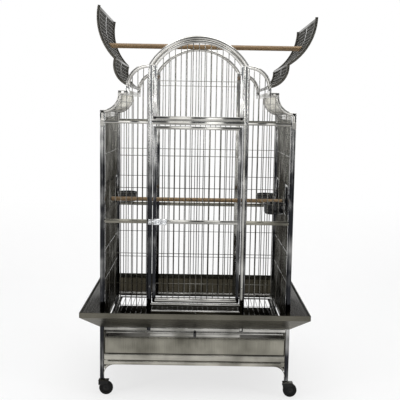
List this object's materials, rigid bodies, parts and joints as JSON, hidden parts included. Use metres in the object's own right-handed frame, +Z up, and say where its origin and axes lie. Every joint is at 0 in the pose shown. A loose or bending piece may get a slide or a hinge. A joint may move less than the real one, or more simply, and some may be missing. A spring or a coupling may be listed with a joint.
{
  "type": "victorian top bird cage",
  "caption": "Barred parrot cage on a wheeled stand: arched front with a door, outer feeder doors with cups, flared seed skirts, slide-out grate and tray, and a roof that opens as a play top.",
  "frame": {"origin": "on the floor, under the middle of the cage", "axes": "+Z up, -Y towards the door, +X to the right of someone who faces the door"},
  "size_m": [1.2101, 0.954, 2.0609],
  "materials": {
    "steel": "polished stainless",
    "dark_steel": "brushed stainless in shade",
    "sheet_steel": "brushed stainless sheet",
    "wood": "plain turned dowel",
    "black_plastic": "glossy black",
    "rubber": "solid black tread"
  },
  "bodies": {
    "cage": {"arch_bolt_left": "steel", "arch_bolt_right": "steel", "arch_grille": "steel", "back_panel": "steel", "corner_post_left_front": "steel", "corner_post_left_back": "steel", "corner_post_right_front": "steel", "corner_post_right_back": "steel", "cup_ring_left_back": "steel", "cup_ring_right_back": "steel", "cup_ring_right_front": "steel", "door_pivot_pin_lower": "steel", "door_pivot_pin_upper": "steel", "front_bay_left": "steel", "front_bay_right": "steel", "front_centre_frame": "steel", "latch_keeper": "steel", "perch_wing_bolt_left": "steel", "perch_wing_bolt_right": "steel", "roof_hinge_rod_left": "steel", "roof_hinge_rod_right": "steel", "roof_scoop_left": "steel", "roof_scoop_right": "steel", "side_panel_left": "steel", "side_panel_right": "steel", "stand_stretcher_front": "dark_steel", "stand_stretcher_back": "dark_steel", "stand_stretcher_left": "dark_steel", "stand_stretcher_right": "dark_steel", "seed_skirt_front": "sheet_steel", "seed_skirt_back": "sheet_steel", "seed_skirt_left": "sheet_steel", "seed_skirt_right": "sheet_steel", "tray_runner_left": "sheet_steel", "tray_runner_right": "sheet_steel", "inner_perch": "wood"},
    "door": {"front_door": "steel", "latch_body": "steel"},
    "latch_bolt": {"latch_bolt": "steel"},
    "roof_left": {"roof_half_left": "steel"},
    "roof_right": {"roof_half_right": "steel"},
    "top_perch": {"top_perch": "wood"},
    "tray": {"waste_tray": "sheet_steel"},
    "grate": {"floor_grate": "dark_steel", "grate_pull_tab": "black_plastic"},
    "feeder_door_left_back": {"feeder_door_left_back": "steel"},
    "cup_left_back": {"cup_left_back": "black_plastic"},
    "feeder_door_right_back": {"feeder_door_right_back": "steel"},
    "cup_right_back": {"cup_right_back": "black_plastic"},
    "feeder_door_right_front": {"feeder_door_right_front": "steel"},
    "cup_right_front": {"cup_right_front": "black_plastic"},
    "caster_fork_left_front": {"caster_fork_left_front": "black_plastic"},
    "caster_wheel_left_front": {"caster_wheel_left_front": "rubber"},
    "caster_fork_left_back": {"caster_fork_left_back": "black_plastic"},
    "caster_wheel_left_back": {"caster_wheel_left_back": "rubber"},
    "caster_fork_right_front": {"caster_fork_right_front": "black_plastic"},
    "caster_wheel_right_front": {"caster_wheel_right_front": "rubber"},
    "caster_fork_right_back": {"caster_fork_right_back": "black_plastic"},
    "caster_wheel_right_back": {"caster_wheel_right_back": "rubber"}
  },
  "joints": [
    {"name": "door_hinge", "type": "hinge", "parent": "cage", "child": "door", "pos_m": [0.227, -0.3765, 0.515], "axis": [0, 0, 1], "range_deg": [0, 110]},
    {"name": "latch_slide", "type": "slide", "parent": "door", "child": "latch_bolt", "axis": [-1, 0, 0], "range_m": [0, 0.016]},
    {"name": "roof_left_hinge", "type": "hinge", "parent": "cage", "child": "roof_left", "pos_m": [-0.365, 0, 1.658], "axis": [0, 1, 0], "range_deg": [0, 76]},
    {"name": "roof_right_hinge", "type": "hinge", "parent": "cage", "child": "roof_right", "pos_m": [0.365, 0, 1.658], "axis": [0, -1, 0], "range_deg": [0, 88.6]},
    {"name": "top_perch_lift", "type": "slide", "parent": "cage", "child": "top_perch", "axis": [0, 0, 1], "range_m": [0, 0.12]},
    {"name": "tray_slide", "type": "slide", "parent": "cage", "child": "tray", "axis": [0, -1, 0], "range_m": [0, 0.6]},
    {"name": "grate_slide", "type": "slide", "parent": "cage", "child": "grate", "axis": [0, -1, 0], "range_m": [0, 0.6]},
    {"name": "feeder_hinge_left_back", "type": "hinge", "parent": "cage", "child": "feeder_door_left_back", "pos_m": [-0.5043, 0.3215, 0.989], "axis": [0, 0, -1], "range_deg": [0, 100]},
    {"name": "feeder_hinge_right_back", "type": "hinge", "parent": "cage", "child": "feeder_door_right_back", "pos_m": [0.5043, 0.3215, 0.989], "axis": [0, 0, 1], "range_deg": [0, 100]},
    {"name": "feeder_hinge_right_front", "type": "hinge", "parent": "cage", "child": "feeder_door_right_front", "pos_m": [0.5043, -0.1455, 0.989], "axis": [0, 0, 1], "range_deg": [0, 100]},
    {"name": "cup_lift_left_back", "type": "slide", "parent": "cage", "child": "cup_left_back", "axis": [0, 0, 1], "range_m": [0, 0.08]},
    {"name": "cup_lift_right_back", "type": "slide", "parent": "cage", "child": "cup_right_back", "axis": [0, 0, 1], "range_m": [0, 0.08]},
    {"name": "cup_lift_right_front", "type": "slide", "parent": "cage", "child": "cup_right_front", "axis": [0, 0, 1], "range_m": [0, 0.08]},
    {"name": "caster_swivel_left_front", "type": "hinge", "parent": "cage", "child": "caster_fork_left_front", "pos_m": [-0.497, -0.37, 0.0767], "axis": [0, 0, 1], "continuous": true},
    {"name": "caster_spin_left_front", "type": "hinge", "parent": "caster_fork_left_front", "child": "caster_wheel_left_front", "pos_m": [-0.475, -0.37, 0.0375], "axis": [0, 1, 0], "continuous": true},
    {"name": "caster_swivel_left_back", "type": "hinge", "parent": "cage", "child": "caster_fork_left_back", "pos_m": [-0.497, 0.37, 0.0767], "axis": [0, 0, 1], "continuous": true},
    {"name": "caster_spin_left_back", "type": "hinge", "parent": "caster_fork_left_back", "child": "caster_wheel_left_back", "pos_m": [-0.475, 0.37, 0.0375], "axis": [0, 1, 0], "continuous": true},
    {"name": "caster_swivel_right_front", "type": "hinge", "parent": "cage", "child": "caster_fork_right_front", "pos_m": [0.497, -0.37, 0.0767], "axis": [0, 0, 1], "continuous": true},
    {"name": "caster_spin_right_front", "type": "hinge", "parent": "caster_fork_right_front", "child": "caster_wheel_right_front", "pos_m": [0.519, -0.37, 0.0375], "axis": [0, 1, 0], "continuous": true},
    {"name": "caster_swivel_right_back", "type": "hinge", "parent": "cage", "child": "caster_fork_right_back", "pos_m": [0.497, 0.37, 0.0767], "axis": [0, 0, 1], "continuous": true},
    {"name": "caster_spin_right_back", "type": "hinge", "parent": "caster_fork_right_back", "child": "caster_wheel_right_back", "pos_m": [0.519, 0.37, 0.0375], "axis": [0, 1, 0], "continuous": true}
  ]
}
